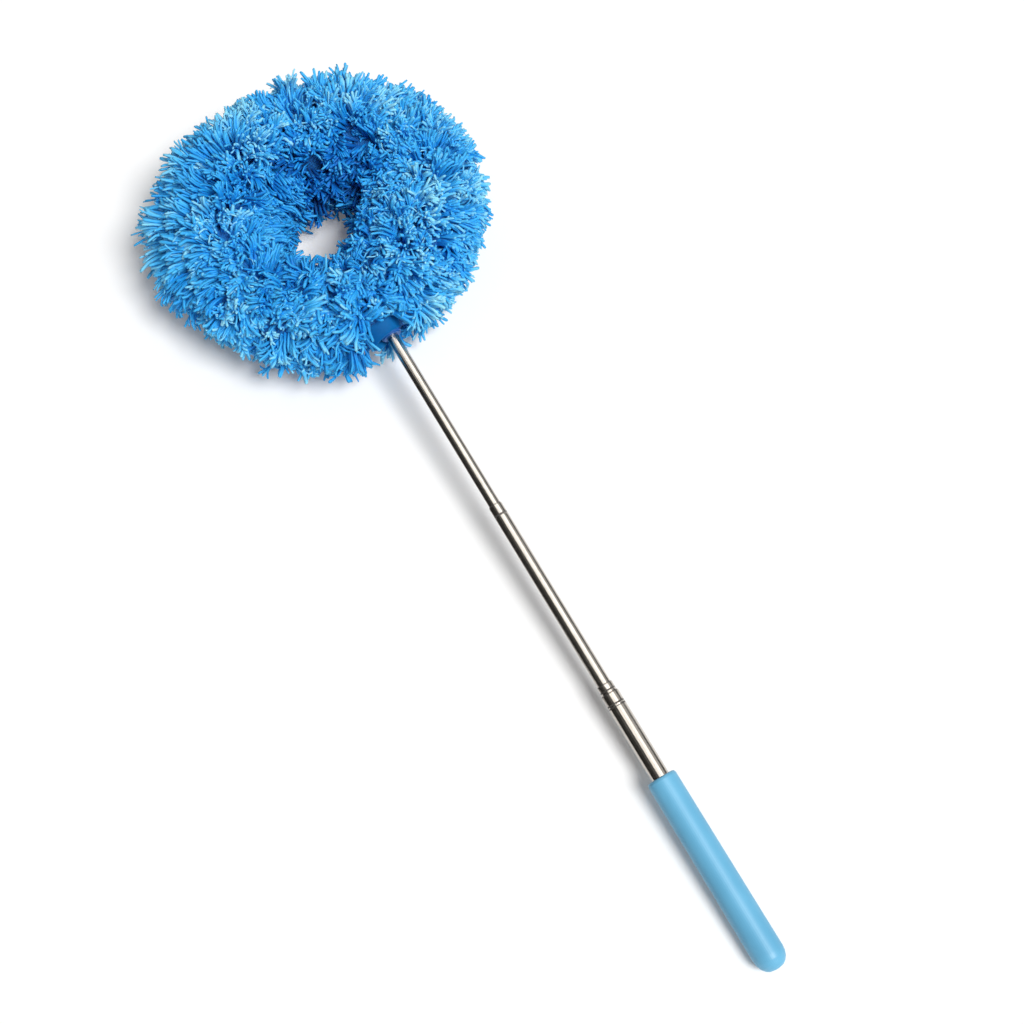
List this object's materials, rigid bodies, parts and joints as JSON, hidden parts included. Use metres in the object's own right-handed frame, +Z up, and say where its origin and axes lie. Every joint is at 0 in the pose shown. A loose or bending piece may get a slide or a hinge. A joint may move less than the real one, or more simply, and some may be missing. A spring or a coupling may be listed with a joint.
{
  "type": "ceiling fan duster",
  "caption": "Ring-shaped microfibre duster on a telescopic stainless pole with a round-ended hand grip; a fan blade passes through the ring and is dusted on both faces.",
  "frame": {"origin": "bottom centre of the bounding box, on the surface that the duster lies on", "axes": "+Y along the duster from the grip's round end towards the ring, +Z up from the surface that it lies on, +X across it, to the right when looking along +Y. The pole climbs towards the ring by 3.94 degrees, because it rests on the ring's pile and the grip's end."},
  "size_m": [0.3286, 0.942, 0.1285],
  "materials": {
    "grip": "soft matte light blue",
    "steel": "polished stainless steel",
    "spring_steel": "plain spring steel",
    "nylon": "natural nylon",
    "neck_plastic": "moulded blue plastic",
    "cover_cloth": "dark blue knitted cloth",
    "foam": "grey foam",
    "pile": "bright blue microfibre pile"
  },
  "bodies": {
    "handle": {"grip": "grip", "base_tube": "steel", "base_plug": "nylon"},
    "lower_section": {"lower_tube": "steel", "lower_tube_bush": "nylon", "lower_tube_spring_clip": "spring_steel"},
    "middle_section": {"middle_tube": "steel", "middle_tube_bush": "nylon", "middle_tube_spring_clip": "spring_steel"},
    "top_section": {"top_tube_bush": "nylon", "top_tube_spring_clip": "spring_steel"},
    "head": {"top_tube": "steel", "neck_plug": "nylon", "neck_front": "neck_plastic", "neck_back": "neck_plastic", "neck_collar": "neck_plastic", "neck_screw_lower": "spring_steel", "neck_screw_upper": "spring_steel", "neck_sleeve": "cover_cloth", "ring_wire": "spring_steel", "wire_ferrule_left": "spring_steel", "wire_ferrule_right": "spring_steel", "ring_foam": "foam", "cover_backing": "cover_cloth", "cover_end_left": "cover_cloth", "cover_end_right": "cover_cloth", "pile_neck": "pile", "pile_01": "pile", "pile_02": "pile", "pile_03": "pile", "pile_04": "pile", "pile_05": "pile", "pile_06": "pile", "pile_07": "pile", "pile_08": "pile", "pile_09": "pile", "pile_10": "pile", "pile_11": "pile", "pile_12": "pile", "pile_13": "pile", "pile_14": "pile", "pile_15": "pile", "pile_16": "pile"}
  },
  "joints": [
    {"name": "lower_slide", "type": "slide", "parent": "handle", "child": "lower_section", "axis": [0, 0.9976, 0.0687], "range_m": [0, 0.191]},
    {"name": "middle_slide", "type": "slide", "parent": "lower_section", "child": "middle_section", "axis": [0, 0.9976, 0.0687], "range_m": [-0.179, 0]},
    {"name": "top_slide", "type": "slide", "parent": "middle_section", "child": "top_section", "axis": [0, 0.9976, 0.0687], "range_m": [-0.174, 0]},
    {"name": "head_turn", "type": "hinge", "parent": "top_section", "child": "head", "pos_m": [0, 0.18452, 0.05891], "axis": [0, 0.9976, 0.0687], "continuous": true}
  ]
}
